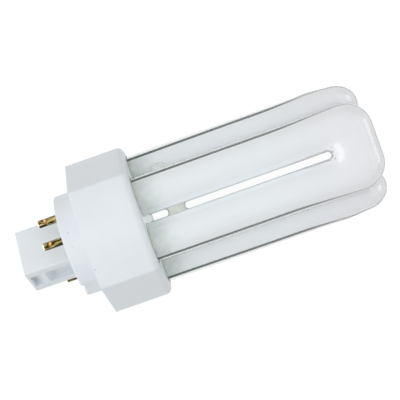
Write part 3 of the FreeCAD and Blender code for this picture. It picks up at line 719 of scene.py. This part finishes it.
plastic = make_plastic()
coat_white = make_coat("coat_white", (0.44, 0.49, 0.47), THIN_COAT_END, glow=0.22)
coat_side_bridge = make_coat("coat_side_bridge", (0.62, 0.67, 0.65), TUBE_END, glow=0.15, gloss=1.0)
coat_rear_bridge = make_coat("coat_rear_bridge", (0.80, 0.84, 0.77), TUBE_END, glow=0.28, gloss=1.0, edge=0.9)
glass_outside = glass_shader("glass_outside", on_outside=True)
glass_bore = glass_shader("glass_bore", on_outside=False)
brass = make_brass()
cement = make_cement()
wire = make_wire()


# Pieces.

def shape(surface, material):
    """A surface with its material's index put before its vertex values."""
    points, faces, values = surface
    return points, faces, material, values


vessel_shapes, coat_shapes = [], []
for angle in U_TUBES:
    vessel_shapes.append(shape(u_surface(0, 0.0, angle), 0))
    vessel_shapes.append(shape(u_surface(1, 0.0, angle, flip=True), 1))
    coat_shapes.append(shape(u_surface(1, COAT_GAP, angle), 0))
for angle, (radius, flare, bridge_coat) in BRIDGES.items():
    coat_shapes.append(shape(bridge_surface(radius, flare, angle), bridge_coat))
vessel = make_piece("glass_vessel", vessel_shapes, (glass_outside, glass_bore))
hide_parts("discharge_tube")
make_piece("phosphor_coat", coat_shapes, (coat_white, coat_side_bridge, coat_rear_bridge))
make_piece("cement_bead", [shape(ring_bead(angle), 0) for angle in LEG_ANGLES], (cement,))

for name, node in nodes.items():
    if name.startswith("contact_pin"):
        finish = brass
    elif name.startswith("lead_wire"):
        finish = wire
    elif name == "tube_cement":
        finish = cement
    else:
        finish = plastic
    node.data.materials.clear()
    node.data.materials.append(finish)


# Floor, light and camera, in metres.

def seen_ray(tree):
    """1 for rays that come straight from the camera, from a mirror-like surface or through glass, else 0."""
    path = tree.nodes.new("ShaderNodeLightPath")
    mirrored = math_node(tree, "MAXIMUM", path.outputs["Is Camera Ray"], path.outputs["Is Glossy Ray"])
    return math_node(tree, "MAXIMUM", mirrored, path.outputs["Is Transmission Ray"])


def mix_for_seen_rays(tree, output, unseen, seen):
    """Surface that is one shader for most rays, and another for rays that show it to the viewer."""
    both = tree.nodes.new("ShaderNodeMixShader")
    tree.links.new(seen_ray(tree), both.inputs["Fac"])
    tree.links.new(unseen.outputs[0], both.inputs[1])
    tree.links.new(seen.outputs[0], both.inputs[2])
    tree.links.new(both.outputs[0], output.inputs["Surface"])


def matt_glow(tree, grey, strength):
    """Matt grey surface with a white glow added."""
    matt = add(tree, "ShaderNodeBsdfDiffuse", Color=(grey, grey, grey, 1))
    glow = add(tree, "ShaderNodeEmission", Color=(1, 1, 1, 1), Strength=strength)
    both = tree.nodes.new("ShaderNodeAddShader")
    tree.links.new(matt.outputs[0], both.inputs[0])
    tree.links.new(glow.outputs[0], both.inputs[1])
    return both


def make_floor(half_side=3.0):
    """Plain pale floor. Rays that show it to the viewer see white, and it keeps the lamp's shadow."""
    material, tree, shader, output = new_material("pale_floor")
    tree.nodes.remove(shader)
    unseen = matt_glow(tree, grey=0.58, strength=0.06)
    seen = matt_glow(tree, grey=0.12, strength=0.93)
    mix_for_seen_rays(tree, output, unseen, seen)
    z = REST_HEIGHT * MM
    corners = [(-half_side, -half_side, z), (half_side, -half_side, z), (half_side, half_side, z),
               (-half_side, half_side, z)]
    mesh = bpy.data.meshes.new("floor")
    mesh.from_pydata(corners, [], [(0, 1, 2, 3)])
    mesh.materials.append(material)
    floor = bpy.data.objects.new("floor", mesh)
    scene.collection.objects.link(floor)


def make_world():
    """Plain soft surroundings that light the lamp from above. Rays that show them to the viewer see white."""
    world = bpy.data.worlds.new("studio")
    scene.world = world
    world.use_nodes = True
    tree = world.node_tree
    tree.nodes.clear()
    output = tree.nodes.new("ShaderNodeOutputWorld")
    where = tree.nodes.new("ShaderNodeTexCoord").outputs["Generated"]
    upwards = add(tree, "ShaderNodeSeparateXYZ", Vector=where).outputs["Z"]
    level = ramp(tree, upwards, ((0.0, (0.01, 0.01, 0.01)), (0.15, (0.03, 0.03, 0.03)),
                                 (0.40, (0.32, 0.32, 0.32)), (0.80, (0.96, 0.97, 0.98))))
    light = add(tree, "ShaderNodeBackground", Color=level, Strength=1.0)
    white = add(tree, "ShaderNodeBackground", Color=(1, 1, 1, 1), Strength=1.0)
    mix_for_seen_rays(tree, output, light, white)


def add_softbox(name, place, target, width, height, radiance):
    """Rectangular lamp at a place, turned to a target, with its brightness given as radiance."""
    light = bpy.data.lights.new(name, "AREA")
    light.shape = "RECTANGLE"
    light.size, light.size_y = width, height
    light.energy = radiance * math.pi * width * height
    lamp = bpy.data.objects.new(name, light)
    scene.collection.objects.link(lamp)
    lamp.location = place
    lamp.rotation_euler = (Vector(target) - Vector(place)).to_track_quat("-Z", "Y").to_euler()


def add_camera():
    """Camera that looks almost straight down, with its focal length given in pixels of a picture 400 wide."""
    picture_width, focal_pixels = 400, 1168.3
    roll, pitch, tilt = 19.44, -1.95, -0.11
    place = (0.05363, -0.00048, 0.35562)
    camera = bpy.data.cameras.new("camera")
    camera.sensor_width = 36.0
    camera.lens = focal_pixels * camera.sensor_width / picture_width
    camera.clip_start, camera.clip_end = 0.01, 20
    view = bpy.data.objects.new("camera", camera)
    scene.collection.objects.link(view)
    turn = (Matrix.Rotation(math.radians(roll), 3, "Z") @ Matrix.Rotation(math.radians(pitch), 3, "Y")
            @ Matrix.Rotation(math.radians(tilt), 3, "X"))
    view.matrix_world = Matrix.Translation(place) @ turn.transposed().to_4x4()
    scene.camera = view


make_floor()
make_world()
add_softbox("softbox_cap_side", place=(-0.45, 0.16, 0.30), target=(0.05, 0.16, 0.30),
            width=1.5, height=0.5, radiance=1.3)
add_softbox("softbox_end_side", place=(0.65, 0.0, 0.45), target=(0.05, 0.0, 0.0),
            width=0.9, height=0.5, radiance=0.5)
add_softbox("softbox_low", place=(1.25, 0.0, 0.22), target=(0.05, 0.0, 0.22),
            width=0.7, height=0.48, radiance=1.4)
add_camera()
scene.view_settings.view_transform = "Standard"
